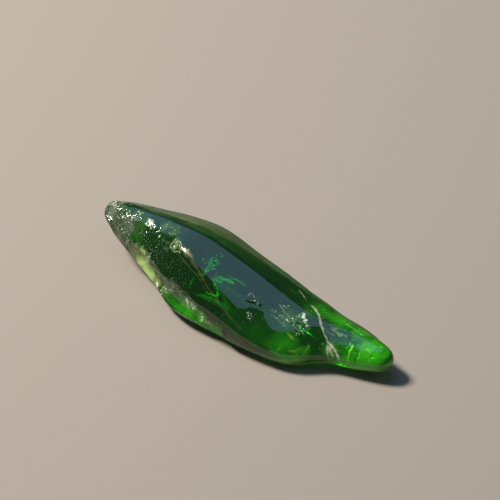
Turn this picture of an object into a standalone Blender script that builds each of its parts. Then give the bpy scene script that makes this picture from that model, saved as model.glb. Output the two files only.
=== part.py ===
"""A water-worn crystal of chrome diopside, lying on its side.

The crystal is one solid. It runs along X, from a broken tip at -X to a round knob at +X, and +Z is up.
Its body is a prism whose long faces meet in worn ridges. It is thickest a third of the way along and
narrows to a neck before the knob. Shell-shaped breaks are cut out of it where pieces have flaked off.
"""

import math

import bmesh
import bpy
import numpy as np
from mathutils import Matrix, Vector, noise
from mathutils.bvhtree import BVHTree

MM = 0.001

# Driving dimensions
LENGTH = 24.0 * MM
BASE_DEPTH = 0.17 * MM  # how much of the underside is worn away to leave the flat it rests on
RINGS = 64
ARC_POINTS = 4  # points round each worn ridge
MOST_WEAR = 0.44  # at the two ends, where the ridges fade into a round end
TIP_ROUNDING = (0.12, 0.0)  # shares of the length between which that happens
KNOB_ROUNDING = (0.66, 0.86)
SMOOTH_ENDS = 0.08
LUMP_HEIGHT = 0.045 * MM  # how far the skin swells and sinks
LUMP_SPACING = 2.6 * MM

# The half-girth is the sine of the way round from tip to knob, times this fullness in millimetres.
# Each pair is (share of the length from the tip, value).
FULLNESS_MM = ((0, 2.70), (0.12, 2.66), (0.24, 3.02), (0.36, 3.34), (0.5, 3.03),
               (0.68, 2.86), (0.76, 2.78), (0.83, 2.26), (0.92, 2.36), (1, 2.85))
# How far the axis of the crystal strays towards the back, and its height above the floor.
AXIS_BACK_MM = ((0, 1.17), (0.12, 1.07), (0.24, 0.99), (0.35, 0.37), (0.5, 0.02),
                (0.68, -0.45), (0.76, -0.21), (0.84, 0.66), (0.92, 0.95), (1, 1.19))
AXIS_HEIGHT_MM = ((0, 2.75), (0.12, 2.45), (0.25, 2.15), (0.36, 2.30), (0.5, 2.15),
                  (0.68, 1.95), (0.84, 1.50), (1, 1.25))

# The ridges that run from tip to knob, in order round the crystal. Each has the share of a face that its
# wear takes up, then where it lies at six places along the crystal: (towards the back, up), for a
# half-girth of 1. The wide top face lies between "top edge" and "front edge".
RIDGE_PLACES = (0, 0.25, 0.36, 0.5, 0.75, 1)
RIDGES = (
    ("back edge", 0.20,
     ((0.84, 0.58), (0.82, 0.60), (0.83, 0.59), (0.88, 0.54), (1.13, 0.30), (0.96, 0.35))),
    ("roof edge", 0.25,
     ((0.38, 0.83), (0.21, 0.91), (0.33, 0.84), (0.57, 0.70), (0.92, 0.40), (0.73, 0.73))),
    ("top edge", 0.10,
     ((0.12, 0.91), (-0.08, 0.98), (0.02, 0.92), (0.20, 0.78), (0.39, 0.48), (0.25, 0.99))),
    ("crown", 0.44,
     ((-0.16, 0.88), (-0.30, 0.90), (-0.35, 0.82), (-0.45, 0.65), (-0.42, 0.27), (-0.50, 0.74))),
    ("front edge", 0.22,
     ((-0.44, 0.76), (-0.52, 0.79), (-0.54, 0.74), (-0.72, 0.54), (-0.87, -0.06), (-0.94, 0.28))),
    ("chin", 0.30,
     ((-0.95, 0.05), (-1.00, 0.14), (-0.95, 0.10), (-1.04, 0.00), (-0.96, -0.30), (-1.01, -0.14))),
    ("lower edge", 0.30,
     ((-0.91, -0.51), (-0.92, -0.52), (-0.97, -0.50), (-1.02, -0.49), (-0.88, -0.54), (-0.87, -0.54))),
    ("front foot", 0.30,
     ((-0.58, -0.81), (-0.60, -0.77), (-0.63, -0.74), (-0.66, -0.71), (-0.57, -0.79), (-0.48, -0.90))),
    ("back foot", 0.30,
     ((0.33, -0.81), (0.23, -0.77), (0.29, -0.74), (0.40, -0.71), (0.48, -0.79), (0.35, -0.96))),
    ("spine", 0.30,
     ((0.92, -0.06), (0.84, -0.05), (0.85, -0.04), (0.90, -0.04), (1.13, -0.20), (0.95, -0.38))),
)

# Breaks and pits in the skin: (share of the length, the way out from the axis in degrees from up towards
# the back, length along the crystal, width, depth, all in mm, turn in degrees). Each is a shell-shaped
# hollow, and the long ones carry ripples.
BREAKS = (
    ("side chip", 0.345, -99, 14.5, 2.3, 0.74, 5),
    ("chip head", 0.190, -98, 3.2, 1.7, 0.34, 14),
    ("chip tail", 0.430, -97, 3.6, 1.6, 0.32, -8),
    ("lip break", 0.530, -112, 2.4, 1.8, 0.30, 0),
    ("tip break", 0.028, -60, 1.5, 1.2, 0.26, 10),
    ("tip hollow", 0.070, -98, 1.5, 1.1, 0.22, -25),
    ("tip notch", 0.095, -30, 1.3, 0.8, 0.16, 35),
    ("tip back", 0.045, 70, 1.4, 1.0, 0.20, 0),
    ("heel chip", 0.62, 128, 3.4, 1.5, 0.30, 8),
    ("knob scar", 0.945, 62, 1.4, 0.8, 0.12, 30),
)
PITS = (
    (0.198, -36, 1.05, 0.62, 0.15, 25),
    (0.226, -31, 0.50, 0.34, 0.10, 0),
    (0.170, -48, 0.42, 0.42, 0.12, 0),
    (0.320, -35, 0.52, 0.46, 0.14, 0),
    (0.350, -38, 0.26, 0.24, 0.07, 0),
    (0.606, -42, 0.86, 0.26, 0.10, 22),
    (0.630, -36, 0.30, 0.24, 0.08, 0),
    (0.617, -66, 0.42, 0.18, 0.06, 60),
    (0.742, -22, 0.44, 0.34, 0.11, 15),
    (0.757, -30, 0.30, 0.26, 0.08, 0),
    (0.728, -34, 0.24, 0.24, 0.07, 0),
    (0.060, -20, 0.60, 0.46, 0.14, 50),
    (0.050, -82, 0.50, 0.46, 0.13, 0),
    (0.104, -66, 0.46, 0.34, 0.10, 30),
    (0.022, 10, 0.52, 0.40, 0.12, 0),
    (0.030, 130, 0.60, 0.50, 0.14, 0),
    (0.018, -120, 0.46, 0.42, 0.12, 0),
    (0.430, 96, 0.60, 0.44, 0.12, 30),
    (0.240, 108, 0.46, 0.40, 0.10, 0),
    (0.800, 120, 0.44, 0.36, 0.09, 0),
    (0.960, -52, 0.34, 0.28, 0.08, 0),
    (0.905, -110, 0.30, 0.26, 0.07, 0),
)
RIPPLES_PER_BREAK = 7
RIPPLE_DEPTH = 0.022 * MM
ROUNDEST_BREAK = 0.75  # largest radius of a break's floor, as a share of its width
BREAK_UNEVENNESS = 0.05
BREAK_UNEVENNESS_RATE = 1.7
STEPS_ROUND_BREAK = 26
STEPS_ALONG_BREAK = 40
PIT_FINENESS = 2
MERGE_DISTANCE = 0.0001 * MM


def along(profile, share):
    """A smooth curve through the (share, value) pairs, read at a share of the length."""
    places = [place for place, _ in profile]
    values = [value for _, value in profile]
    last = len(places) - 1
    i = min(max(int(np.searchsorted(places, share)) - 1, 0), last - 1)

    def slope(k):
        low, high = max(k - 1, 0), min(k + 1, last)
        return (values[high] - values[low]) / (places[high] - places[low])

    gap = places[i + 1] - places[i]
    t = (share - places[i]) / gap
    rise = values[i + 1] - values[i]
    return (values[i] + rise * t * t * (3 - 2 * t)
            + gap * slope(i) * t * (1 - t) ** 2 - gap * slope(i + 1) * t * t * (1 - t))


def ease(low, high, value):
    """0 up to low, 1 from high on, and a smooth step between them. It also runs downwards, low over high."""
    t = min(max((value - low) / (high - low), 0.0), 1.0)
    return t * t * (3 - 2 * t)


def section(turn):
    """The ring of points at this way round from the tip (0) to the knob (pi)."""
    share = (1 - math.cos(turn)) / 2
    half_girth = math.sin(turn) * along(FULLNESS_MM, share) * MM
    centre = Vector((
        (share - 0.5) * LENGTH,
        along(AXIS_BACK_MM, share) * MM,
        along(AXIS_HEIGHT_MM, share) * MM,
    ))
    corners = []
    for _, _, path in RIDGES:
        back = along(tuple(zip(RIDGE_PLACES, (place[0] for place in path))), share)
        up = along(tuple(zip(RIDGE_PLACES, (place[1] for place in path))), share)
        corners.append(centre + half_girth * Vector((0, back, up)))
    roundness = max(ease(*TIP_ROUNDING, share), ease(*KNOB_ROUNDING, share))
    points = []
    for i, (_, wear, _) in enumerate(RIDGES):
        corner = corners[i]
        wear += (MOST_WEAR - wear) * roundness
        start = corner.lerp(corners[i - 1], wear)
        end = corner.lerp(corners[(i + 1) % len(corners)], wear)
        for k in range(ARC_POINTS):
            t = k / (ARC_POINTS - 1)
            points.append(start.lerp(corner, t).lerp(corner.lerp(end, t), t))
        next_wear = RIDGES[(i + 1) % len(RIDGES)][1]
        next_wear += (MOST_WEAR - next_wear) * roundness
        next_start = corners[(i + 1) % len(corners)].lerp(corner, next_wear)
        points.append(end.lerp(next_start, 0.5))
    return points


def swell(bm):
    """Gives the skin low lumps and hollows, growing from nothing at the two ends."""
    bm.normal_update()
    moves = []
    for vert in bm.verts:
        share = vert.co.x / LENGTH + 0.5
        fade = ease(0, SMOOTH_ENDS, share) * ease(1, 1 - SMOOTH_ENDS, share)
        moves.append(vert.normal * (noise.noise(vert.co / LUMP_SPACING) * LUMP_HEIGHT * fade))
    for vert, move in zip(bm.verts, moves):
        vert.co += move


def body_mesh():
    """The worn prism before anything has broken off it."""
    bm = bmesh.new()
    rings = [[bm.verts.new(point) for point in section(math.pi * i / RINGS)] for i in range(1, RINGS)]
    for near, far in zip(rings, rings[1:]):
        for i in range(len(near)):
            j = (i + 1) % len(near)
            bm.faces.new((near[i], near[j], far[j], far[i]))
    for ring, share in ((rings[0], 0), (rings[-1], 1)):
        pole = bm.verts.new((
            (share - 0.5) * LENGTH,
            along(AXIS_BACK_MM, share) * MM,
            along(AXIS_HEIGHT_MM, share) * MM,
        ))
        for i in range(len(ring)):
            bm.faces.new((pole, ring[i], ring[(i + 1) % len(ring)]))
    bmesh.ops.recalc_face_normals(bm, faces=bm.faces)
    swell(bm)
    return bm


def wear_base_flat(bm):
    """Cuts the lowest BASE_DEPTH off the underside, and moves what is left down to stand on z = 0."""
    lowest = min(vert.co.z for vert in bm.verts)
    level = lowest + BASE_DEPTH
    everything = bm.verts[:] + bm.edges[:] + bm.faces[:]
    cut = bmesh.ops.bisect_plane(
        bm, geom=everything, plane_co=(0, 0, level), plane_no=(0, 0, -1), clear_outer=True,
        dist=MERGE_DISTANCE)
    rim = [item for item in cut["geom_cut"] if isinstance(item, bmesh.types.BMEdge)]
    bmesh.ops.contextual_create(bm, geom=rim)
    bmesh.ops.translate(bm, verts=bm.verts, vec=(0, 0, -level))
    return level


def hollow(tree, level, share, look, size, turn, rippled):
    """The shape that scoops one break out of the skin: the end of an egg, lying half out of the crystal."""
    axis = Vector((
        (share - 0.5) * LENGTH,
        along(AXIS_BACK_MM, share) * MM,
        along(AXIS_HEIGHT_MM, share) * MM - level,
    ))
    way = Vector((0, math.sin(math.radians(look)), math.cos(math.radians(look))))
    spot, out, _, _ = tree.ray_cast(axis, way)
    length, width, depth = (value * MM for value in size)
    # A ball of this radius stands out of a flat skin in a ring as wide as the break, and sinks to its depth.
    bulge = depth + (width / 2) ** 2 / (2 * depth)
    radius = min(bulge, ROUNDEST_BREAK * width)
    reach = math.sqrt(radius ** 2 - (radius - depth) ** 2)
    lengthwise = (Vector((1, 0, 0)) - out * out.x).normalized()
    sideways = out.cross(lengthwise)
    lean = Matrix.Rotation(math.radians(turn), 3, out)
    lengthwise, sideways = lean @ lengthwise, lean @ sideways
    bm = bmesh.new()
    if rippled:
        bmesh.ops.create_uvsphere(bm, u_segments=STEPS_ROUND_BREAK, v_segments=STEPS_ALONG_BREAK, radius=1)
    else:
        bmesh.ops.create_icosphere(bm, subdivisions=PIT_FINENESS, radius=1)
    centre = spot + out * (radius - depth)
    for vert in bm.verts:
        unit = vert.co.copy()
        grown = 1.0
        if rippled:
            grown += RIPPLE_DEPTH / radius * math.sin(math.pi * RIPPLES_PER_BREAK * unit.z * radius / reach)
        grown += BREAK_UNEVENNESS * noise.noise(unit * BREAK_UNEVENNESS_RATE + spot / MM)
        vert.co = (centre
                   + lengthwise * (unit.z * length / 2 * radius / reach)
                   + sideways * (unit.x * grown * width / 2 * radius / reach)
                   + out * (unit.y * grown * radius))
    if bm.calc_volume(signed=True) < 0:
        bmesh.ops.reverse_faces(bm, faces=bm.faces)
    return bm


def link(name, bm, material=None):
    mesh = bpy.data.meshes.new(name)
    bm.to_mesh(mesh)
    bm.free()
    obj = bpy.data.objects.new(name, mesh)
    bpy.context.scene.collection.objects.link(obj)
    if material is not None:
        mesh.materials.append(material)
    return obj


def green_crystal():
    material = bpy.data.materials.new("chrome diopside")
    material.use_nodes = True
    surface = material.node_tree.nodes["Principled BSDF"]
    surface.inputs["Base Color"].default_value = (0.02, 0.16, 0.01, 1)
    surface.inputs["Roughness"].default_value = 0.05
    surface.inputs["IOR"].default_value = 1.68
    return material


def main():
    for obj in list(bpy.data.objects):
        bpy.data.objects.remove(obj)
    bm = body_mesh()
    level = wear_base_flat(bm)
    tree = BVHTree.FromBMesh(bm)
    crystal = link("crystal", bm, green_crystal())

    cutters = bpy.data.collections.new("cutters")
    bpy.context.scene.collection.children.link(cutters)
    hollows = [(name, share, look, size, turn, True) for name, share, look, *size, turn in BREAKS]
    hollows += [(f"pit {i}", share, look, size, turn, False)
                for i, (share, look, *size, turn) in enumerate(PITS)]
    for name, share, look, size, turn, rippled in hollows:
        cutter = link(name + " cutter", hollow(tree, level, share, look, size, turn, rippled))
        bpy.context.scene.collection.objects.unlink(cutter)
        cutters.objects.link(cutter)
        cutter.hide_render = True
        cutter.display_type = "WIRE"
    breaks = crystal.modifiers.new("breaks", "BOOLEAN")
    breaks.operation = "DIFFERENCE"
    breaks.solver = "EXACT"
    breaks.operand_type = "COLLECTION"
    breaks.collection = cutters


main()
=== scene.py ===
import math

import bpy
import numpy as np
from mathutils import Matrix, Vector, noise
from mathutils.bvhtree import BVHTree


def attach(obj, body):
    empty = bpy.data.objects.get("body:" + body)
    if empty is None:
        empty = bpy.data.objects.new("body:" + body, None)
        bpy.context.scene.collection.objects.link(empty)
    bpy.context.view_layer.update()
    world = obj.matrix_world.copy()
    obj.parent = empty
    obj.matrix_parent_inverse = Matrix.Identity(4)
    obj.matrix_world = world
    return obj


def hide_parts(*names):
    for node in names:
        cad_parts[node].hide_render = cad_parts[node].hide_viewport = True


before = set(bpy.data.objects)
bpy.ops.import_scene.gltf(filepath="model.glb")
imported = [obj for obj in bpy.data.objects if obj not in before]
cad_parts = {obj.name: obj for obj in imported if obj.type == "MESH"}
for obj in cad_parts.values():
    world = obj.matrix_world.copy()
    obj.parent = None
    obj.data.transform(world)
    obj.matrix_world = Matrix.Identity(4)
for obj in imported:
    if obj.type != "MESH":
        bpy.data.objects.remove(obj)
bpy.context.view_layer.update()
mm = 0.001


# general helpers

def linearColour(hexCode):
    # an sRGB hex value as linear red, green and blue, and a full alpha
    channels = [int(hexCode[i:i + 2], 16) / 255 for i in (1, 3, 5)]
    return [c / 12.92 if c <= 0.04045 else ((c + 0.055) / 1.055) ** 2.4 for c in channels] + [1.0]


def addNode(tree, kind, links=None, **settings):
    # each input takes a node's first output, another output, or a plain value
    node = tree.nodes.new(kind)
    for name, value in settings.items():
        setattr(node, name, value)
    for socket, source in (links or {}).items():
        if isinstance(source, bpy.types.Node):
            source = source.outputs[0]
        if isinstance(source, bpy.types.NodeSocket):
            tree.links.new(source, node.inputs[socket])
        else:
            node.inputs[socket].default_value = source
    return node


def newMaterial(name):
    material = bpy.data.materials.new(name)
    material.use_nodes = True
    material.node_tree.nodes.clear()
    return material, material.node_tree


def selectOnly(piece):
    bpy.ops.object.select_all(action="DESELECT")
    piece.select_set(True)
    bpy.context.view_layer.objects.active = piece


def smoothStep(low, high, value):
    t = np.clip((value - low) / (high - low), 0, 1)
    return t * t * (3 - 2 * t)


def vertexPlaces(mesh):
    flat = np.empty(len(mesh.vertices) * 3)
    mesh.vertices.foreach_get("co", flat)
    return flat.reshape(-1, 3)


def vertexNormals(mesh):
    flat = np.empty(len(mesh.vertices) * 3)
    mesh.vertices.foreach_get("normal", flat)
    return flat.reshape(-1, 3)


def noiseAt(places, spacing, seed=0.0, stretch=(1, 1, 1)):
    # one noise value for each place, its lumps about spacing apart
    shift = Vector((seed, 1.7 * seed, -seed))
    scale = Vector(stretch) / spacing
    return np.array([noise.noise(Vector(place) * scale + shift) for place in places])


def spotMask(places, spots, wander=0.0, full=0.35):
    # each (x, y, z, radius, strength) spot, in mm, has its strength as far out as full, a share of its
    # radius, and fades to 0 at its radius, which wanders in and out
    mask = np.zeros(len(places))
    for x, y, z, radius, strength in spots:
        far = np.linalg.norm(places - np.array((x, y, z)) * mm, axis=1) / (radius * mm)
        far += wander
        mask = np.maximum(mask, strength * smoothStep(1, full, far))
    return mask


# crystal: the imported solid, with its fine surface put on

crystalShape = {
    "weldDistance": 0.0015 * mm,
    "quadAngle": 24,            # two triangles flatter than this, in degrees, join into one face
    "quadSkew": 55,             # and only if its corners are no further off square than this, in degrees
    "edgeAngle": 36,            # edges sharper than this stay crisp
    "edgeCrease": 0.75,
    "subdivisions": 2,
    "unevenSpacing": 0.9 * mm,  # how the edges of the places below wander, coarse and fine
    "unevenDetail": 0.4 * mm,
    "waviness": 0.006 * mm,     # low swells that make a worn face reflect unevenly
    "wavinessSpacing": 1.1 * mm,
    "pitting": 0.035 * mm,      # roughness of the broken tip
    "pittingSpacing": 0.36 * mm,
    "frosting": 0.030 * mm,     # roughness of the other broken places
    "frostingSpacing": 0.24 * mm,
    "endFullness": 0.10 * mm,   # what smoothing draws in at the two ends
    # the steep front face stands out by up to 0.1 mm low down, which leaves it hollow higher up
    "hollowSpot": (-5.1, -1.66, 3.0, 2.1, 1.0),
    "hollowTop": 3.7 * mm,
    "hollowLean": 0.10,
    # frosted places: x, y, z and radius in mm, then how much of the place is frosted
    "frostSpots": [
        # the broken tip
        (-11.9, 0.9, 3.0, 0.8, 0.42),
        (-11.4, 0.95, 3.4, 0.8, 0.50),
        (-10.8, 1.0, 3.6, 0.7, 0.42),
        (-10.3, 0.5, 3.5, 0.8, 0.44),
        (-9.7, 0.6, 3.7, 0.8, 0.50),
        (-9.0, 0.5, 3.9, 0.7, 0.46),
        (-8.5, 0.4, 4.0, 0.5, 0.36),
        (-10.9, 0.1, 2.4, 0.8, 0.36),
        (-10.0, -0.2, 2.8, 0.9, 0.42),
        (-9.2, 0.0, 3.4, 0.9, 0.45),
        (-9.5, -0.35, 2.8, 0.8, 0.40),
        (-8.7, -0.6, 2.4, 0.6, 0.50),
        (-8.2, -0.7, 2.6, 0.5, 0.50),
        # worn places on the front ridge
        (-7.55, 0.26, 4.15, 0.48, 0.66),
        (-7.25, 0.05, 4.1, 0.46, 0.68),
        (-6.95, 0.0, 4.2, 0.42, 0.68),
        (-6.5, -0.15, 4.2, 0.32, 0.66),
        (-6.1, -0.4, 4.15, 0.25, 0.62),
        (-5.65, -0.65, 4.1, 0.20, 0.52),
        (-6.3, 0.1, 4.4, 0.9, 0.34),
        (-5.4, -0.15, 4.6, 0.9, 0.30),
        (-4.39, -0.85, 4.6, 0.42, 0.40),
        # pits of the top face
        (2.54, -1.22, 3.39, 0.40, 0.42),
        (2.9, -2.17, 2.84, 0.45, 0.30),
        (5.58, 0.0, 2.85, 0.27, 0.67),
        (6.0, -0.2, 2.7, 0.32, 0.64),
        (6.4, -0.36, 2.5, 0.32, 0.52),
        (5.2, -0.75, 2.75, 1.1, 0.36),
        (4.3, -0.75, 3.0, 1.2, 0.32),
        (6.2, -1.0, 2.4, 0.9, 0.33),
        # the chip's upper edge
        (-7.2, -1.0, 2.9, 0.35, 0.46),
        (-6.5, -1.35, 2.75, 0.35, 0.48),
        (-6.0, -1.4, 2.3, 0.38, 0.52),
        (-5.7, -1.35, 1.9, 0.40, 0.54),
        (-5.4, -1.35, 1.6, 0.45, 0.60),
        (-4.7, -1.6, 1.6, 0.50, 0.54),
        (-3.8, -1.9, 1.65, 0.60, 0.58),
        (-3.0, -2.15, 1.7, 0.60, 0.54),
        (-2.0, -2.5, 1.85, 0.60, 0.58),
        (-1.2, -2.75, 1.8, 0.55, 0.52),
        (-0.5, -2.85, 1.6, 0.50, 0.50),
        (0.05, -2.9, 1.25, 0.45, 0.60),
        (-5.6, -1.6, 0.9, 0.45, 0.66),
        (-4.7, -1.8, 1.1, 0.5, 0.48),
        (8.1, -0.5, 1.8, 0.8, 0.30),
    ],
    # smooth cloudy places: x, y, z and radius in mm, then how cloudy
    "hazeSpots": [
        (-8.1, -0.55, 1.9, 1.0, 0.62),
        (-7.6, -0.7, 1.4, 1.1, 0.78),
        (-6.9, -0.95, 1.2, 1.1, 0.90),
        (-6.3, -1.2, 1.05, 1.0, 0.74),
        (-7.7, -0.75, 2.3, 0.8, 0.74),
        (-7.1, -1.0, 2.4, 0.8, 0.80),
        (-6.5, -1.25, 2.1, 0.8, 0.80),
        (-5.6, -1.4, 1.1, 0.8, 0.40),
        (-4.5, -1.8, 1.3, 1.2, 0.14),
        (-4.2, -1.05, 4.5, 0.55, 0.34),
        (-11.3, 0.9, 3.0, 1.3, 0.60),
        (-10.3, 0.2, 2.9, 1.7, 0.24),
        (-9.3, 0.1, 3.3, 1.3, 0.44),
        (-8.4, -0.1, 3.5, 1.7, 0.12),
        (-6.2, 0.2, 4.5, 0.9, 0.12),
        (-5.3, -0.1, 4.7, 0.9, 0.12),
        (-4.4, -0.9, 4.6, 0.7, 0.16),
        (5.2, -0.8, 2.7, 1.5, 0.10),
        (8.4, -0.5, 1.6, 0.9, 0.16),
    ],
    # painted glow: places where the skin scatters light just below it, put where light coming through the
    # crystal makes it bright, so their green stands in for that light: x, y, z and radius in mm, then how
    # much
    "paintedGlowSpots": [
        (10.9, 0.7, 1.5, 2.2, 0.62),
        (11.2, 0.4, 0.9, 1.4, 0.64),
        (11.9, 1.1, 1.2, 1.0, 0.64),
        (9.9, 0.0, 1.2, 0.9, 0.56),
        (8.7, 0.2, 1.7, 1.0, 0.14),
        (9.5, 1.7, 2.2, 1.4, 0.46),
        (7.5, 1.6, 2.5, 1.4, 0.34),
        (6.0, 1.4, 2.8, 1.4, 0.22),
        (5.9, -2.2, 1.5, 1.9, 0.22),
        (5.7, -2.65, 0.8, 0.8, 0.50),
        (6.2, -2.45, 0.8, 0.9, 0.66),
        (6.7, -2.1, 1.0, 0.85, 0.72),
        (7.0, -1.65, 1.45, 0.8, 0.60),
        (4.0, -2.6, 1.7, 2.2, 0.07),
        (5.5, -0.9, 2.6, 2.2, 0.07),
        (11.8, 1.1, 1.7, 0.8, 0.46),
        (-4.6, -1.8, 1.3, 1.2, 0.22),
        (-3.5, -2.2, 1.4, 1.3, 0.20),
        (-2.5, -2.5, 1.4, 1.4, 0.24),
        (-1.5, -2.8, 1.2, 1.5, 0.38),
        (-0.5, -2.9, 1.0, 1.5, 0.58),
        (0.3, -2.95, 0.9, 1.2, 0.60),
    ],
    # places with a few scattered pits: x, y, z and radius in mm, then how many
    "speckSpots": [
        (-6.5, -0.6, 3.0, 3.2, 0.42),
        (-3.0, -1.6, 3.0, 2.6, 0.38),
        (0.5, -2.6, 2.4, 2.0, 0.34),
        (3.4, -1.6, 2.9, 2.2, 0.34),
        (6.8, 0.6, 2.6, 2.0, 0.36),
        (10.0, 0.6, 2.2, 2.0, 0.24),
    ],
}


def weldedCopy(nodeName, pieceName):
    # a CAD node's mesh is loose triangles, so its copy is welded before anything else
    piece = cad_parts[nodeName].copy()
    piece.data = piece.data.copy()
    piece.name = pieceName
    piece.parent = None
    bpy.context.scene.collection.objects.link(piece)
    selectOnly(piece)
    bpy.ops.object.mode_set(mode="EDIT")
    bpy.ops.mesh.select_all(action="SELECT")
    bpy.ops.mesh.remove_doubles(threshold=crystalShape["weldDistance"])
    bpy.ops.mesh.tris_convert_to_quads(
        face_threshold=math.radians(crystalShape["quadAngle"]),
        shape_threshold=math.radians(crystalShape["quadSkew"]))
    bpy.ops.mesh.select_all(action="DESELECT")
    bpy.ops.mesh.edges_select_sharp(sharpness=math.radians(crystalShape["edgeAngle"]))
    bpy.ops.transform.edge_crease(value=crystalShape["edgeCrease"])
    bpy.ops.mesh.select_all(action="DESELECT")
    bpy.ops.object.mode_set(mode="OBJECT")
    return piece


def subdivide(piece, levels):
    fine = piece.modifiers.new("fine surface", "SUBSURF")
    fine.levels = levels
    fine.render_levels = levels
    selectOnly(piece)
    bpy.ops.object.modifier_apply(modifier=fine.name)


def storeMask(mesh, name, values):
    layer = mesh.attributes.new(name, "FLOAT", "POINT")
    layer.data.foreach_set("value", values.astype(np.float32))


def surfaceMove(places, frost):
    # how far each point goes out along its normal
    shape = crystalShape
    x, _, z = (places / mm).T
    waves = noiseAt(places, shape["wavinessSpacing"], 3.1, (0.6, 1, 1))
    pits = 0.3 - 1.6 * np.abs(noiseAt(places, shape["pittingSpacing"], 7.7))
    grains = noiseAt(places, shape["frostingSpacing"], 1.3)
    tip = smoothStep(-9.2, -11.0, x)
    move = waves * shape["waviness"]
    move += np.minimum(pits, 0.1) * tip * shape["pitting"]
    move += (grains - 0.35) * frost * shape["frosting"]
    move = move * smoothStep(0.0, 0.25, z)      # the flat that it rests on stays flat
    hollow = spotMask(places, [shape["hollowSpot"]])
    move += hollow * np.clip(shape["hollowTop"] - places[:, 2], 0, 1 * mm) * shape["hollowLean"]
    move += shape["endFullness"] * (smoothStep(-10.9, -11.9, x) + smoothStep(11.0, 11.9, x))
    return move


def surfaceMasks(places, normals, frost, uneven):
    # how much of each finish a point has, from 0 to 1, for the material to read
    shape = crystalShape
    x, y, z = (places / mm).T
    # growth lines show where the crystal looks to the back, and along its top rim
    backward = smoothStep(0.10, 0.6, normals[:, 1]) * smoothStep(-0.5, 0.0, normals[:, 2])
    # the worn underside of the thin end scatters light, which makes that end glow
    under = smoothStep(-0.15, -0.5, normals[:, 2]) * smoothStep(1.5, 5.5, x)
    thin = smoothStep(8.6, 9.4, x)
    # the thick end's underside is painted dark: painted shade of the shadowed ground seen through it
    paintedUnderShade = smoothStep(-0.15, -0.6, normals[:, 2]) * smoothStep(4.0, 1.5, x) * smoothStep(-2.7, -2.1, y)
    return {
        "frost": np.clip(frost, 0, 1),
        "haze": spotMask(places, shape["hazeSpots"], 0.25 * uneven, 0.1),
        # painted glow, where light through the crystal would brighten it
        "paintedGlow": spotMask(places, shape["paintedGlowSpots"], 0.35 * uneven, -0.1),
        "specks": spotMask(places, shape["speckSpots"]),
        "growth": backward * smoothStep(-11, -8, x),
        "under": under * (0.7 + 0.3 * thin),
        "paintedUnderShade": paintedUnderShade,
        "dust": smoothStep(-7.0, -9.0, x) * smoothStep(1.9, 2.6, z),
    }


def dressSurface(piece):
    # fine relief first, then the masks, both from where the points lie before they move
    mesh = piece.data
    places = vertexPlaces(mesh)
    normals = vertexNormals(mesh)
    uneven = noiseAt(places, crystalShape["unevenSpacing"], 5.2)
    uneven = uneven + 0.8 * noiseAt(places, crystalShape["unevenDetail"], 8.9)
    frost = spotMask(places, crystalShape["frostSpots"], 0.5 * uneven)
    move = surfaceMove(places, frost)
    mesh.vertices.foreach_set("co", (places + normals * move[:, None]).ravel())
    mesh.update()
    for name, mask in surfaceMasks(places, normals, frost, uneven).items():
        storeMask(mesh, name, mask)


# chrome diopside, worn smooth by water: glassy, strongly coloured by chromium, with a high index for a gem.
# Breaks are frosted, because light scatters from their tiny steps.
diopsideLook = {
    "ior": 1.68,
    "roughness": 0.035,
    "absorbColour": "#bbef00",      # what a millimetre or so lets through
    "absorbDensity": 2200,          # per metre
    "surfaceTint": "#4be010",
    "turbid": 0.03,                 # how far even the clearest skin scatters light
    "glowRoughness": 0.12,
    "grainSpacing": 0.16 * mm,
    "grainGain": 0.42,              # how fast grains cover the ground as frost rises
    "grainRelief": 0.045 * mm,
    "speckGain": 0.3,
    "frostColour": "#e2efe4",
    "frostRoughness": 0.40,
    "frostClear": 0.18,             # how much light still passes through a frosted place
    "haze": 0.30,                   # how far the ground between the grains is frosted
    "hazeColour": "#b9e57e",
    "dustyColour": "#7d947a",       # the same on the tip, where dust fills the pits
    "dustStain": 0.65,
    "stainColour": "#6b5a34",       # iron stain in the pits of the tip
    "lineSpacing": 0.11 * mm,       # growth lines across the rim; real ones are finer
    "lineStretch": 0.022,           # they run along the crystal
    "lineRelief": 0.05 * mm,
    "rimColour": "#48661a",         # haze between the growth lines of the rim
    "rimHaze": 0.46,
    "rimRoughness": 0.60,
    "wornUnderside": 0.55,          # how far it is frosted where it rubbed on the river bed
    "paintedUnderShadeStrength": 0.85,         # painted shade: a dark underside takes up most of the light there
    # the colour of that painted shade
    "paintedUnderShadeColour": "#2c2a12",
}


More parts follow.
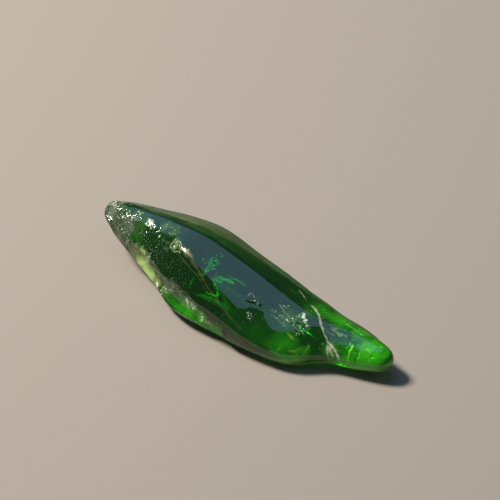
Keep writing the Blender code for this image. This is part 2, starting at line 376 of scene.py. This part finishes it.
def diopsideMaterial():
    look = diopsideLook
    material, tree = newMaterial("chromeDiopside")
    place = addNode(tree, "ShaderNodeTexCoord").outputs["Object"]
    masks = ("frost", "specks", "haze", "paintedGlow", "growth", "under", "paintedUnderShade", "dust")
    frost, specks, haze, paintedGlow, growth, under, paintedUnderShade, dust = (
        addNode(tree, "ShaderNodeAttribute", attribute_name=mask).outputs["Fac"] for mask in masks)

    # white grains, which cover more of the ground as frost rises; noise spreads from about 0.25 to 0.75
    grain = addNode(tree, "ShaderNodeTexNoise", {
        "Vector": place, "Scale": 1 / look["grainSpacing"], "Detail": 5.0, "Roughness": 0.66})
    grainRise = addNode(tree, "ShaderNodeMath", {0: frost, 1: look["grainGain"]}, operation="MULTIPLY")
    grainLevel = addNode(tree, "ShaderNodeMath", {0: grain, 1: grainRise}, operation="ADD")
    grainCover = addNode(tree, "ShaderNodeMapRange", {
        "Value": grainLevel, "From Min": 0.70, "From Max": 0.80}, interpolation_type="SMOOTHSTEP")
    grainPlace = addNode(tree, "ShaderNodeMapRange", {
        "Value": frost, "From Min": 0.03, "From Max": 0.2}, interpolation_type="SMOOTHSTEP")
    grains = addNode(tree, "ShaderNodeMath", {0: grainCover, 1: grainPlace}, operation="MULTIPLY")

    # scattered pits
    fine = addNode(tree, "ShaderNodeTexNoise", {
        "Vector": place, "Scale": 2.3 / look["grainSpacing"], "Detail": 3.0, "Roughness": 0.6})
    speckRise = addNode(tree, "ShaderNodeMath", {0: specks, 1: look["speckGain"]}, operation="MULTIPLY")
    speckLevel = addNode(tree, "ShaderNodeMath", {0: fine, 1: speckRise}, operation="ADD")
    speckCover = addNode(tree, "ShaderNodeMapRange", {
        "Value": speckLevel, "From Min": 0.76, "From Max": 0.79}, interpolation_type="SMOOTHSTEP")
    speckPlace = addNode(tree, "ShaderNodeMapRange", {
        "Value": specks, "From Min": 0.02, "From Max": 0.1}, interpolation_type="SMOOTHSTEP")
    dots = addNode(tree, "ShaderNodeMath", {0: speckCover, 1: speckPlace}, operation="MULTIPLY")
    white = addNode(tree, "ShaderNodeMath", {0: grains, 1: dots}, operation="MAXIMUM")

    # cloudy places, and the ground between the grains
    groundFrost = addNode(tree, "ShaderNodeMapRange", {
        "Value": frost, "From Min": 0.36, "From Max": 0.9}, interpolation_type="SMOOTHSTEP")
    groundHaze = addNode(tree, "ShaderNodeMath", {0: groundFrost, 1: look["haze"]}, operation="MULTIPLY")
    cloudy = addNode(tree, "ShaderNodeMath", {0: haze, 1: groundHaze}, operation="MAXIMUM")

    # growth lines
    alongLines = addNode(tree, "ShaderNodeMapping", {"Vector": place, "Scale": (look["lineStretch"], 1, 1)})
    lines = addNode(tree, "ShaderNodeTexNoise", {
        "Vector": alongLines, "Scale": 1 / look["lineSpacing"], "Detail": 2.0})
    lineHeight = addNode(tree, "ShaderNodeMath", {0: lines, 1: growth}, operation="MULTIPLY")
    lineBump = addNode(tree, "ShaderNodeBump", {
        "Height": lineHeight, "Strength": 1.0, "Distance": look["lineRelief"]})
    lineCover = addNode(tree, "ShaderNodeMapRange", {
        "Value": lines, "From Min": 0.30, "From Max": 0.62}, interpolation_type="SMOOTHSTEP")
    lineCover = addNode(tree, "ShaderNodeMath", {0: lineCover, 1: growth}, operation="MULTIPLY")
    striped = addNode(tree, "ShaderNodeMath", {0: lineCover, 1: look["rimHaze"]}, operation="MULTIPLY")

    # how far each place scatters light instead of letting it through
    worn = addNode(tree, "ShaderNodeMath", {0: under, 1: look["wornUnderside"]}, operation="MULTIPLY")
    ground = addNode(tree, "ShaderNodeMath", {0: cloudy, 1: worn}, operation="MAXIMUM")
    ground = addNode(tree, "ShaderNodeMath", {0: ground, 1: striped}, operation="MAXIMUM")
    rough = addNode(tree, "ShaderNodeMath", {0: white, 1: ground}, operation="MAXIMUM")
    # painted glow, and the faint turbidity of even the clearest skin
    turbidWithPaintedGlow = addNode(tree, "ShaderNodeMath", {0: paintedGlow, 1: look["turbid"]}, operation="MAXIMUM")
    scatter = addNode(tree, "ShaderNodeMath", {0: rough, 1: turbidWithPaintedGlow}, operation="MAXIMUM")
    # painted shade under the thick end
    paintedUnderShadeCover = addNode(tree, "ShaderNodeMath", {
        0: paintedUnderShade, 1: look["paintedUnderShadeStrength"]}, operation="MULTIPLY")
    scatter = addNode(tree, "ShaderNodeMath", {0: scatter, 1: paintedUnderShadeCover}, operation="MAXIMUM")
    clear = addNode(tree, "ShaderNodeMapRange", {
        "Value": scatter, "To Min": 1.0, "To Max": look["frostClear"]})

    # relief of the grains, on top of that of the lines
    grainGround = addNode(tree, "ShaderNodeMath", {0: white, 1: cloudy}, operation="MAXIMUM")
    grainHeight = addNode(tree, "ShaderNodeMath", {0: grain, 1: grainGround}, operation="MULTIPLY")
    bump = addNode(tree, "ShaderNodeBump", {
        "Height": grainHeight, "Strength": 1.0, "Distance": look["grainRelief"], "Normal": lineBump})

    # roughness
    rimRough = addNode(tree, "ShaderNodeMath", {0: growth, 1: look["rimRoughness"]}, operation="MULTIPLY")
    glowRough = addNode(tree, "ShaderNodeMath", {0: paintedGlow, 1: look["glowRoughness"]}, operation="MULTIPLY")
    placeRough = addNode(tree, "ShaderNodeMath", {0: rimRough, 1: glowRough}, operation="MAXIMUM")
    skinRough = addNode(tree, "ShaderNodeMapRange", {
        "Value": rough, "To Min": look["roughness"], "To Max": look["frostRoughness"]},
        interpolation_type="SMOOTHSTEP")
    roughness = addNode(tree, "ShaderNodeMath", {0: skinRough, 1: placeRough}, operation="MAXIMUM")

    # colours, one over the other: tint, haze with its dust and lines, painted shade of the underside, white
    # grains
    cloudShade = addNode(tree, "ShaderNodeMix", {
        0: dust, 6: linearColour(look["hazeColour"]), 7: linearColour(look["dustyColour"])},
        data_type="RGBA").outputs[2]
    cloudShade = addNode(tree, "ShaderNodeMix", {
        0: growth, 6: cloudShade, 7: linearColour(look["rimColour"])}, data_type="RGBA").outputs[2]
    cloudCover = addNode(tree, "ShaderNodeMapRange", {
        "Value": ground, "From Min": 0.0, "From Max": 0.25}, interpolation_type="SMOOTHSTEP")
    shade = addNode(tree, "ShaderNodeMix", {
        0: cloudCover, 6: linearColour(look["surfaceTint"]), 7: cloudShade}, data_type="RGBA").outputs[2]
    shade = addNode(tree, "ShaderNodeMix", {
        0: paintedUnderShadeCover, 6: shade, 7: linearColour(look["paintedUnderShadeColour"])}, data_type="RGBA").outputs[2]
    stainCover = addNode(tree, "ShaderNodeMapRange", {
        "Value": fine, "From Min": 0.42, "From Max": 0.6}, interpolation_type="SMOOTHSTEP")
    dustStain = addNode(tree, "ShaderNodeMath", {0: dust, 1: look["dustStain"]}, operation="MULTIPLY")
    stained = addNode(tree, "ShaderNodeMath", {0: stainCover, 1: dustStain}, operation="MULTIPLY")
    frostShade = addNode(tree, "ShaderNodeMix", {
        0: stained, 6: linearColour(look["frostColour"]), 7: linearColour(look["stainColour"])},
        data_type="RGBA").outputs[2]
    shade = addNode(tree, "ShaderNodeMix", {0: white, 6: shade, 7: frostShade}, data_type="RGBA").outputs[2]

    shader = addNode(tree, "ShaderNodeBsdfPrincipled", {
        "Base Color": shade, "Roughness": roughness, "Transmission Weight": clear, "IOR": look["ior"],
        "Normal": bump})
    absorb = addNode(tree, "ShaderNodeVolumeAbsorption", {
        "Color": linearColour(look["absorbColour"]), "Density": look["absorbDensity"]})
    addNode(tree, "ShaderNodeOutputMaterial", {"Surface": shader, "Volume": absorb})
    return material


crystal = weldedCopy("crystal", "wornCrystal")
subdivide(crystal, crystalShape["subdivisions"])
dressSurface(crystal)
crystal.data.materials.clear()
crystal.data.materials.append(diopsideMaterial())
selectOnly(crystal)
bpy.ops.object.shade_smooth()
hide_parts("crystal")
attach(crystal, "root")
print("crystal surfaced: %d faces" % len(crystal.data.polygons))


# inner fractures: thin films of air and tiny crystals inside, which scatter green light

fractures = {
    # middle in mm, the way it faces, half length and half width in mm, then how much it hides inside
    # and at its rim; lean is the side, along and across, on which the rim is strong
    "knobFracture": {
        "middle": (10.75, 1.0, 1.25), "facing": (-0.30, -0.30, 0.90), "long": 1.40, "wide": 1.6,
        "cover": 0.95, "rimCover": 1.0, "lean": (0, 0), "ripple": 0.06, "spacing": 0.45, "seed": 2.0},
    "neckFracture": {
        "middle": (8.3, 0.7, 1.25), "facing": (-0.30, -0.10, 0.95), "long": 1.1, "wide": 1.3,
        "cover": 0.30, "rimCover": 0.50, "lean": (1, 0), "ripple": 0.12, "spacing": 0.35, "seed": 6.0},
    "backFracture": {
        "middle": (7.6, 1.55, 1.95), "facing": (-0.10, 0.10, 0.98), "long": 2.6, "wide": 0.5,
        "cover": 0.60, "rimCover": 0.30, "lean": (0, 0), "ripple": 0.08, "spacing": 0.5, "seed": 21.0},
    "lensFracture": {
        "middle": (5.45, -1.45, 1.15), "facing": (0.05, -0.25, 0.96), "long": 1.15, "wide": 0.95,
        "cover": 0.34, "rimCover": 0.85, "lean": (0.6, -0.8), "ripple": 0.06, "spacing": 0.5, "seed": 5.0},
    "bodyHaze": {
        "middle": (3.2, -0.9, 1.3), "facing": (0.0, -0.2, 0.98), "long": 3.4, "wide": 1.7,
        "cover": 0.26, "rimCover": 0.0, "lean": (0, 0), "ripple": 0.25, "spacing": 1.1, "seed": 12.0},
    "lipFracture": {
        "middle": (-3.0, -2.3, 0.45), "facing": (-0.1, -0.65, 0.76), "long": 2.4, "wide": 0.5,
        "cover": 0.65, "rimCover": 0.40, "lean": (0, 0), "ripple": 0.05, "spacing": 0.4, "seed": 15.0},
}

fractureLook = {
    "colour": "#b8ee5c",
    "roughness": 0.5,
    "rows": 40,
    "margin": 0.22 * mm,        # a fracture fades out this far below the skin
    "nearSkin": 0.04 * mm,      # and hides nothing here
    "leastCover": 0.002,        # what hides less than this is taken off
}


def coveredMaterial(name, colour, roughness):
    # a thin film that hides what is behind it as far as its cover mask says
    material, tree = newMaterial(name)
    cover = addNode(tree, "ShaderNodeAttribute", attribute_name="cover").outputs["Fac"]
    film = addNode(tree, "ShaderNodeBsdfPrincipled", {
        "Base Color": linearColour(colour), "Roughness": roughness})
    clear = addNode(tree, "ShaderNodeBsdfTransparent")
    mixed = addNode(tree, "ShaderNodeMixShader", {0: cover, 1: clear, 2: film})
    addNode(tree, "ShaderNodeOutputMaterial", {"Surface": mixed})
    return material


def addFilm(name, points, faces, material):
    mesh = bpy.data.meshes.new(name)
    mesh.from_pydata([tuple(p) for p in points], [], faces)
    piece = bpy.data.objects.new(name, mesh)
    bpy.context.scene.collection.objects.link(piece)
    mesh.materials.append(material)
    selectOnly(piece)
    return piece


def depthBelow(skin, place):
    # how far inside the crystal a place lies, less than 0 outside it
    near, facing, _, _ = skin.find_nearest(Vector(place))
    gap = near - Vector(place)
    return gap.length if gap.dot(facing) > 0 else -gap.length


def fractureCover(shape, places, u, v, skin):
    # how much each point hides; u and v run from -1 to 1 along and across the film
    reach = np.hypot(u, v)
    reach += 0.12 * noiseAt(places, shape["spacing"] * mm, shape["seed"] + 9)
    depths = np.array([depthBelow(skin, place) for place in places])
    cloud = noiseAt(places, shape["spacing"] * mm * 0.6, shape["seed"] + 4)
    rim = (shape["rimCover"] - shape["cover"]) * smoothStep(0.62, 0.86, reach)
    if any(shape["lean"]):
        leanAlong, leanAcross = shape["lean"]
        rim = rim * smoothStep(-0.2, 0.9, (u * leanAlong + v * leanAcross) / np.maximum(reach, 0.2))
    cover = shape["cover"] + rim
    cover = cover * smoothStep(1.0, 0.93, reach) * (0.8 + 0.5 * cloud)
    return cover * smoothStep(fractureLook["nearSkin"], fractureLook["margin"], depths)


def trimFilm(piece, cover):
    # takes off what lies outside the crystal or hides nothing; a new grid's faces start out selected
    selectOnly(piece)
    bpy.ops.object.mode_set(mode="EDIT")
    bpy.ops.mesh.select_mode(type="VERT")
    bpy.ops.mesh.select_all(action="DESELECT")
    bpy.ops.object.mode_set(mode="OBJECT")
    for vertex, covered in zip(piece.data.vertices, cover):
        vertex.select = bool(covered < fractureLook["leastCover"])
    bpy.ops.object.mode_set(mode="EDIT")
    bpy.ops.mesh.delete(type="VERT")
    bpy.ops.object.mode_set(mode="OBJECT")


def addFracture(name, shape, skin, material):
    rows = fractureLook["rows"]
    bpy.ops.object.select_all(action="DESELECT")
    bpy.ops.mesh.primitive_grid_add(x_subdivisions=rows, y_subdivisions=rows, size=2, location=(0, 0, 0))
    piece = bpy.context.object
    piece.name = name
    mesh = piece.data
    mesh.name = name
    mesh.materials.append(material)
    facing = Vector(shape["facing"]).normalized()
    along = (Vector((1, 0, 0)) - facing * facing.x).normalized()
    across = facing.cross(along)
    u, v = vertexPlaces(mesh)[:, :2].T
    places = np.array(shape["middle"]) * mm + u[:, None] * np.array(along) * shape["long"] * mm
    places += v[:, None] * np.array(across) * shape["wide"] * mm
    ripple = noiseAt(places, shape["spacing"] * mm, shape["seed"]) * shape["ripple"] * mm
    places += ripple[:, None] * np.array(facing)
    mesh.vertices.foreach_set("co", places.ravel())
    mesh.update()
    cover = fractureCover(shape, places, u, v, skin)
    storeMask(mesh, "cover", np.clip(cover, 0, 1))
    trimFilm(piece, cover)
    bpy.ops.object.shade_smooth()
    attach(piece, "root")
    print("%s: %d faces" % (name, len(mesh.polygons)))


crystalSkin = BVHTree.FromPolygons([v.co.copy() for v in crystal.data.vertices],
                                   [tuple(p.vertices) for p in crystal.data.polygons])
film = coveredMaterial("innerFracture", fractureLook["colour"], fractureLook["roughness"])
for name, shape in fractures.items():
    addFracture(name, shape, crystalSkin, film)
print("inner fractures placed")


# streaks: thin films on the skin, and fine green needles inside; some are painted reflection, shade and
# glints

# the white vein that crosses the top face, its branches, and the rims of pits
whiteVeins = {
    "film": "calciteVein",
    "onSkin": True,
    "strength": 1.0,
    "paths": [      # points along each streak in mm, then its half width in mm
        ([(4.0, 1.66, 3.22), (4.45, 1.5, 3.12), (4.9, 1.33, 3.04)], 0.055),
        ([(5.5, 1.12, 2.95), (5.9, 1.02, 2.86), (6.3, 0.85, 2.78), (6.7, 0.52, 2.67), (7.1, 0.21, 2.48),
          (7.59, -0.1, 2.24), (7.97, -0.28, 2.04), (8.14, -0.59, 1.74), (8.37, -0.79, 1.31),
          (8.48, -0.71, 0.8)], 0.13),
        ([(7.97, -0.28, 2.04), (8.48, -0.4, 1.79), (8.91, -0.53, 1.5), (9.18, -0.54, 1.05)], 0.13),
        ([(8.05, -0.5, 1.85), (8.5, -0.6, 1.55), (8.75, -0.62, 1.25)], 0.26),
        ([(7.3, 0.1, 2.4), (7.7, 0.2, 2.3), (8.2, 0.3, 2.2)], 0.035),
        ([(8.0, -0.3, 2.0), (8.3, -0.25, 1.95), (8.7, -0.15, 1.95)], 0.03),
        ([(8.0, 1.53, 2.42), (8.9, 1.4, 2.4), (9.85, 1.25, 2.35)], 0.022),
        # the rim of the round pit
        ([(-4.32, -1.28, 4.25), (-4.64, -1.08, 4.31), (-4.65, -0.89, 4.53), (-4.42, -0.75, 4.7),
          (-4.02, -0.83, 4.8), (-3.71, -1.06, 4.75), (-3.65, -1.3, 4.59), (-3.92, -1.37, 4.38),
          (-4.32, -1.28, 4.25)], 0.045),
        # the cracked pit of the top face, and an arc beside it
        ([(2.02, -1.4, 3.5), (2.14, -0.95, 3.6), (2.5, -1.05, 3.45), (2.67, -0.6, 3.5)], 0.035),
        ([(2.2, -1.6, 3.42), (2.6, -1.3, 3.4), (3.0, -1.25, 3.3)], 0.03),
        ([(2.62, -2.0, 3.05), (3.07, -2.1, 2.86), (3.04, -2.4, 2.69)], 0.03),
    ],
}

# painted reflection: a pale olive streak all along the front ridge stands in for the light it catches
paintedRidgeSheen = {
    "film": "paintedRidgeSheenAndShade",
    "onSkin": True,
    "strength": 0.4,
    "paths": [
        ([(-5.6, -0.7, 4.15), (-4.4, -1.0, 4.45), (-3.21, -1.35, 4.6), (-1.91, -1.77, 4.33),
          (-0.57, -2.25, 3.65), (0.78, -2.6, 3.0), (1.75, -2.77, 2.54), (2.94, -2.9, 2.05)], 0.17),
        ([(-3.8, -1.35, 4.35), (-2.5, -1.75, 4.1), (-1.3, -2.1, 3.8), (-0.3, -2.5, 3.2)], 0.07),
    ],
}

# painted shade: a dull olive film that hides the key light's glint on that ridge beside the round pit,
# where a brownish streak runs
paintedGlintShade = {
    "film": "paintedRidgeSheenAndShade",
    "onSkin": True,
    "strength": 1.5,
    "paths": [
        ([(-3.85, -1.06, 4.66), (-3.41, -1.16, 4.74), (-2.95, -1.28, 4.72), (-2.4, -1.45, 4.6)], 0.28),
    ],
}

# needles under the top face, where the cluster of flakes is, and a painted glint among them
innerNeedlesAndGlint = {
    "film": "greenNeedleAndGlint",
    "onSkin": False,
    "strength": 1.0,
    "paths": [
        # this wide one and the next are a painted glint: a bright green sliver of light off a crack
        ([(-1.9, -2.4, 2.9), (-1.89, -2.12, 3.37), (-1.81, -1.81, 3.88)], 0.11),
        ([(-1.65, -2.35, 3.1), (-1.6, -2.1, 3.5), (-1.5, -1.95, 3.75)], 0.05),
        ([(-2.86, 0.36, 4.85), (-1.7, -0.35, 4.5), (-0.9, -1.0, 4.15), (-0.4, -1.3, 3.9)], 0.02),
        ([(-2.2, 0.7, 4.7), (-1.5, -0.1, 4.45), (-1.0, -0.8, 4.2)], 0.018),
        ([(-1.3, 0.8, 4.6), (-0.9, 0.1, 4.4), (-0.4, -0.7, 4.1)], 0.016),
    ],
}

# faint scuffs on the top face near the neck
topScuffs = {
    "film": "calciteVein",
    "onSkin": True,
    "strength": 0.28,
    "paths": [
        ([(3.9, -0.3, 3.2), (4.7, -0.55, 2.9), (5.5, -0.7, 2.65)], 0.13),
        ([(4.4, -0.85, 2.95), (5.3, -0.95, 2.65), (6.2, -1.0, 2.4)], 0.10),
        ([(5.2, -0.5, 2.75), (5.9, -0.75, 2.5), (6.6, -0.95, 2.2)], 0.13),
        ([(4.0, -1.2, 3.0), (4.9, -1.3, 2.7), (5.6, -1.35, 2.4)], 0.08),
        ([(7.6, 0.6, 2.45), (8.2, 0.5, 2.35), (8.9, 0.7, 2.3)], 0.20),
    ],
}

# bright edges of the lens-shaped fracture, where they come up to the skin
lensEdges = {
    "film": "fractureEdge",
    "onSkin": True,
    "strength": 0.8,
    "paths": [
        ([(5.0, -2.86, 0.95), (5.8, -2.6, 0.78), (6.51, -2.23, 0.82), (6.91, -1.9, 1.19),
          (7.13, -1.44, 1.6), (7.04, -1.1, 1.93)], 0.08),
        ([(5.5, -1.5, 2.3), (5.84, -1.59, 2.24), (6.2, -1.6, 2.1)], 0.26),
        ([(5.5, -2.6, 1.52), (5.72, -2.57, 1.48)], 0.14),
        ([(6.1, -2.2, 1.5), (6.5, -2.0, 1.5), (6.7, -1.7, 1.7)], 0.12),
    ],
}

# bright cracks in the knob, and painted glints along its top
knobStreaksAndGlints = {
    "film": "knobCrackAndGlint",
    "onSkin": True,
    "strength": 1.4,
    "paths": [
        ([(9.55, 0.45, 2.1), (9.6, -0.05, 1.75), (9.65, -0.3, 1.3), (9.68, -0.33, 0.82)], 0.12),
        ([(9.15, -0.1, 1.84), (9.3, 0.1, 2.0)], 0.06),
        ([(9.2, 0.49, 2.17), (9.45, 0.2, 2.0)], 0.06),
        ([(9.43, -0.15, 1.76), (9.75, 0.15, 1.95)], 0.06),
        ([(9.0, 0.2, 2.0), (9.2, 0.1, 1.95)], 0.05),
        # painted glints along the top of the knob
        ([(10.84, 0.92, 2.13), (11.04, 1.25, 2.15), (11.3, 1.4, 2.0)], 0.08),
        ([(10.2, 0.55, 2.1), (10.9, 0.6, 2.0)], 0.05),
        ([(10.2, 0.3, 2.0), (10.3, -0.05, 1.3)], 0.05),
        ([(10.9, 0.5, 1.95), (11.0, 0.1, 1.2)], 0.05),
    ],
}

streakLook = {
    "films": {
        "calciteVein": "#d7dfc6",
        # painted reflection along the front ridge, and painted shade over its glint
        "paintedRidgeSheenAndShade": "#77804a",
        # needles, and a painted glint
        "greenNeedleAndGlint": "#7cff5a",
        "fractureEdge": "#a9da4c",
        # knob cracks, and painted glints
        "knobCrackAndGlint": "#8dff3c",
    },
    "roughness": 0.5,
    "pointSpacing": 0.06 * mm,
    "lift": 0.010 * mm,         # how proud of the skin a streak stands along its middle
    "wander": 0.05 * mm,        # how far it strays to the sides, and over what length
    "wanderSpacing": 0.35 * mm,
    "widthSpacing": 0.25 * mm,  # over what length its width changes
    "endRows": 5,               # it thins out over this many rows at each end
    "fullCover": 0.62,          # how much its middle hides, at strength 1
    # the five points across it: share of the half width, of the lift and of the cover
    "section": ((-1, -0.4, 0.0), (-0.5, 0.6, 0.7), (0, 1, 1.0), (0.5, 0.6, 0.7), (1, -0.4, 0.0)),
}


def smoothPath(points, spacing):
    # a smooth curve that passes through all the points
    points = [points[0]] + list(points) + [points[-1]]
    places = []
    for before, start, end, after in zip(points, points[1:], points[2:], points[3:]):
        before, start, end, after = (np.array(p) * mm for p in (before, start, end, after))
        count = max(2, int(np.linalg.norm(end - start) / spacing))
        for t in np.arange(count) / count:
            places.append(0.5 * (2 * start + (end - before) * t
                                 + (2 * before - 5 * start + 4 * end - after) * t * t
                                 + (3 * start - before - 3 * end + after) * t ** 3))
    places.append(np.array(points[-1]) * mm)
    return places


def streakStrip(path, halfWidth, skin, onSkin, seed):
    # rows of points across the streak, their cover, and the faces between the rows
    middle = smoothPath(path, streakLook["pointSpacing"])
    section = streakLook["section"]
    rows, covers = [], []
    for index, place in enumerate(middle):
        along = np.array(middle[min(index + 1, len(middle) - 1)]) - np.array(middle[max(index - 1, 0)])
        place = Vector(place)
        _, facing, _, _ = skin.find_nearest(place)
        side = Vector(along).cross(facing).normalized()
        sway = noise.noise(place / streakLook["wanderSpacing"] + Vector((seed, 0, 0)))
        place = place + side * sway * streakLook["wander"]
        if onSkin:
            place, facing, _, _ = skin.find_nearest(place)
        thick = 0.75 + 0.7 * noise.noise(place / streakLook["widthSpacing"] + Vector((0, seed, 0)))
        ends = min(index, len(middle) - 1 - index) / streakLook["endRows"]
        for across, lift, cover in section:
            width = halfWidth * mm * thick * min(1.0, 0.3 + ends)
            spot, upward = place + side * across * width, facing
            if onSkin:
                spot, upward, _, _ = skin.find_nearest(spot)
            rows.append(spot + upward * lift * streakLook["lift"])
            hides = streakLook["fullCover"] * cover * min(1.0, ends + 0.2)
            covers.append(hides * min(1.0, 0.2 + thick * 0.6))
    faces = []
    for row in range(len(middle) - 1):
        for column in range(len(section) - 1):
            corner = row * len(section) + column
            faces.append((corner, corner + 1, corner + len(section) + 1, corner + len(section)))
    return rows, covers, faces


def addStreaks(name, streaks, skin, material):
    points, covers, faces = [], [], []
    for index, (path, halfWidth) in enumerate(streaks["paths"]):
        rows, rowCovers, rowFaces = streakStrip(path, halfWidth, skin, streaks["onSkin"], 3.7 * index)
        faces += [tuple(corner + len(points) for corner in face) for face in rowFaces]
        points += rows
        covers += rowCovers
    piece = addFilm(name, points, faces, material)
    storeMask(piece.data, "cover", np.clip(np.array(covers) * streaks["strength"], 0, 1))
    bpy.ops.object.shade_smooth()
    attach(piece, "root")


streakPieces = {
    "whiteVeins": whiteVeins, "paintedRidgeSheen": paintedRidgeSheen, "paintedGlintShade": paintedGlintShade, "innerNeedlesAndGlint": innerNeedlesAndGlint,
    "topScuffs": topScuffs, "lensEdges": lensEdges, "knobStreaksAndGlints": knobStreaksAndGlints}
streakFilms = {name: coveredMaterial(name, colour, streakLook["roughness"])
               for name, colour in streakLook["films"].items()}
for name, streaks in streakPieces.items():
    addStreaks(name, streaks, crystalSkin, streakFilms[streaks["film"]])
print("veins, edges and needles placed")


# flakes: tiny cracks just under the skin, in clusters, whose pale colours are painted glints of light off
# them

# green painted glints under the top face and in the lens-shaped fracture
paintedGreenGlints = {
    "colour": "#8dffb0",
    # start and end of the cluster in mm, spread in mm, flakes, size in mm
    "clusters": [
        ((-1.44, -1.7, 3.95), (-1.11, 0.05, 4.4), 0.16, 44, 0.13),
        ((-1.9, -0.4, 4.45), (-1.5, -0.9, 4.3), 0.22, 10, 0.10),
        ((5.6, -0.1, 2.6), (6.2, -0.5, 2.3), 0.22, 22, 0.15),
        ((5.35, -2.2, 1.3), (5.45, -2.15, 1.3), 0.05, 3, 0.17),
    ],
}

# yellow painted glints under the back of the neck and in the knob
paintedYellowGlints = {
    "colour": "#d8ff6a",
    "clusters": [
        ((9.5, 0.9, 1.7), (9.6, 0.2, 1.5), 0.12, 9, 0.16),
        ((10.6, 1.45, 1.95), (11.2, 1.4, 1.85), 0.10, 12, 0.12),
        ((5.0, 1.37, 2.85), (7.6, 1.6, 2.35), 0.14, 40, 0.08),
        ((7.6, 1.54, 2.3), (10.0, 1.3, 2.2), 0.14, 26, 0.08),
        ((7.9, 0.7, 2.2), (8.9, 0.6, 2.1), 0.20, 18, 0.10),
    ],
}

flakeLook = {
    "roughness": 0.25,
    "corners": 6,
    "seed": 11,
}


def addFlakes(name, flakes, skin, material):
    random = np.random.RandomState(flakeLook["seed"])
    corners = flakeLook["corners"]
    points, faces, covers = [], [], []
    for start, end, spread, count, size in flakes["clusters"]:
        for _ in range(count):
            centre = np.array(start) + (np.array(end) - np.array(start)) * random.rand()
            centre = (centre + random.normal(0, spread, 3) * (1, 1, 0.5)) * mm
            facing = Vector(random.normal(0, 0.6, 3) + (0, -0.3, 1)).normalized()
            if depthBelow(skin, centre) < size * mm * 0.3:
                continue
            side = facing.orthogonal().normalized()
            other = facing.cross(side)
            turn = random.rand() * math.tau
            first = len(points)
            halfLength = size * mm * (0.5 + random.rand())
            halfWidth = halfLength * (0.25 + 0.5 * random.rand())
            for corner in range(corners):
                angle = turn + math.tau * corner / corners
                reach = 0.7 + 0.5 * random.rand()
                points.append(Vector(centre) + side * math.cos(angle) * halfLength * reach
                              + other * math.sin(angle) * halfWidth * reach)
            faces.append(tuple(range(first, first + corners)))
            covers += [0.35 + 0.6 * random.rand()] * corners
    piece = addFilm(name, points, faces, material)
    storeMask(piece.data, "cover", np.array(covers))
    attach(piece, "root")


# painted glints
greenGlintFilm = coveredMaterial("greenGlintFlake", paintedGreenGlints["colour"], flakeLook["roughness"])
yellowGlintFilm = coveredMaterial("yellowGlintFlake", paintedYellowGlints["colour"], flakeLook["roughness"])
addFlakes("paintedGreenGlints", paintedGreenGlints, crystalSkin, greenGlintFilm)
addFlakes("paintedYellowGlints", paintedYellowGlints, crystalSkin, yellowGlintFilm)
print("flakes placed")


# stage: floor, soft lights and camera

stageLook = {
    "floorSize": 3.0,
    "floorColour": "#928c86",
    "floorRoughness": 0.9,
    "worldColour": "#aab6c4",
    "worldStrength": 0.16,
    "cameraAzimuth": 38.19,
    "cameraElevation": 38.0,
    "cameraTarget": (-1.97 * mm, 4.09 * mm, 2.13 * mm),
    "cameraDistance": 0.26,
    "lens": 277.3,
    "sensorWidth": 36,
}

softLights = {
    # the wide top face mirrors the overhead softbox, so its edges set where that sheen ends;
    # it hangs level, turned by these degrees
    "overheadSoftbox": {
        "place": (-0.215, 0.035, 0.20), "turn": -9, "size": (0.47, 0.155), "watts": 0.23,
        "colour": "#a6c8ff"},
    # it faces the crystal
    "keySoftbox": {
        "place": (-0.20, -0.042, 0.245), "size": (0.07, 0.07), "watts": 1.9, "colour": "#fff4e2"},
}


def addFloor():
    bpy.ops.object.select_all(action="DESELECT")
    bpy.ops.mesh.primitive_plane_add(size=stageLook["floorSize"], location=(0, 0, 0))
    floor = bpy.context.object
    floor.name = "floor"
    material, tree = newMaterial("paleCard")
    shader = addNode(tree, "ShaderNodeBsdfPrincipled", {
        "Base Color": linearColour(stageLook["floorColour"]), "Roughness": stageLook["floorRoughness"]})
    addNode(tree, "ShaderNodeOutputMaterial", {"Surface": shader})
    floor.data.materials.append(material)


def addSoftLight(name, settings):
    light = bpy.data.lights.new(name, "AREA")
    light.shape = "RECTANGLE"
    light.size, light.size_y = settings["size"]
    light.energy = settings["watts"]
    light.color = linearColour(settings["colour"])[:3]
    lamp = bpy.data.objects.new(name, light)
    lamp.location = settings["place"]
    if "turn" in settings:
        lamp.rotation_euler = (0, 0, math.radians(settings["turn"]))
    else:
        lamp.rotation_euler = (-Vector(settings["place"])).to_track_quat("-Z", "Y").to_euler()
    bpy.context.scene.collection.objects.link(lamp)


def addCamera():
    azimuth = math.radians(stageLook["cameraAzimuth"])
    elevation = math.radians(stageLook["cameraElevation"])
    back = Vector((math.sin(azimuth) * math.cos(elevation), -math.cos(azimuth) * math.cos(elevation),
                   math.sin(elevation)))
    camera = bpy.data.objects.new("camera", bpy.data.cameras.new("camera"))
    camera.data.lens = stageLook["lens"]
    camera.data.sensor_width = stageLook["sensorWidth"]
    camera.data.clip_start = 0.01
    camera.location = Vector(stageLook["cameraTarget"]) + back * stageLook["cameraDistance"]
    camera.rotation_euler = (-back).to_track_quat("-Z", "Y").to_euler()
    bpy.context.scene.collection.objects.link(camera)
    bpy.context.scene.camera = camera


def addWorld():
    world = bpy.data.worlds.new("studio")
    bpy.context.scene.world = world
    world.use_nodes = True
    background = world.node_tree.nodes["Background"]
    background.inputs["Color"].default_value = linearColour(stageLook["worldColour"])
    background.inputs["Strength"].default_value = stageLook["worldStrength"]


addFloor()
for name, settings in softLights.items():
    addSoftLight(name, settings)
addCamera()
addWorld()
bpy.context.scene.view_settings.view_transform = "Standard"
print("stage ready")
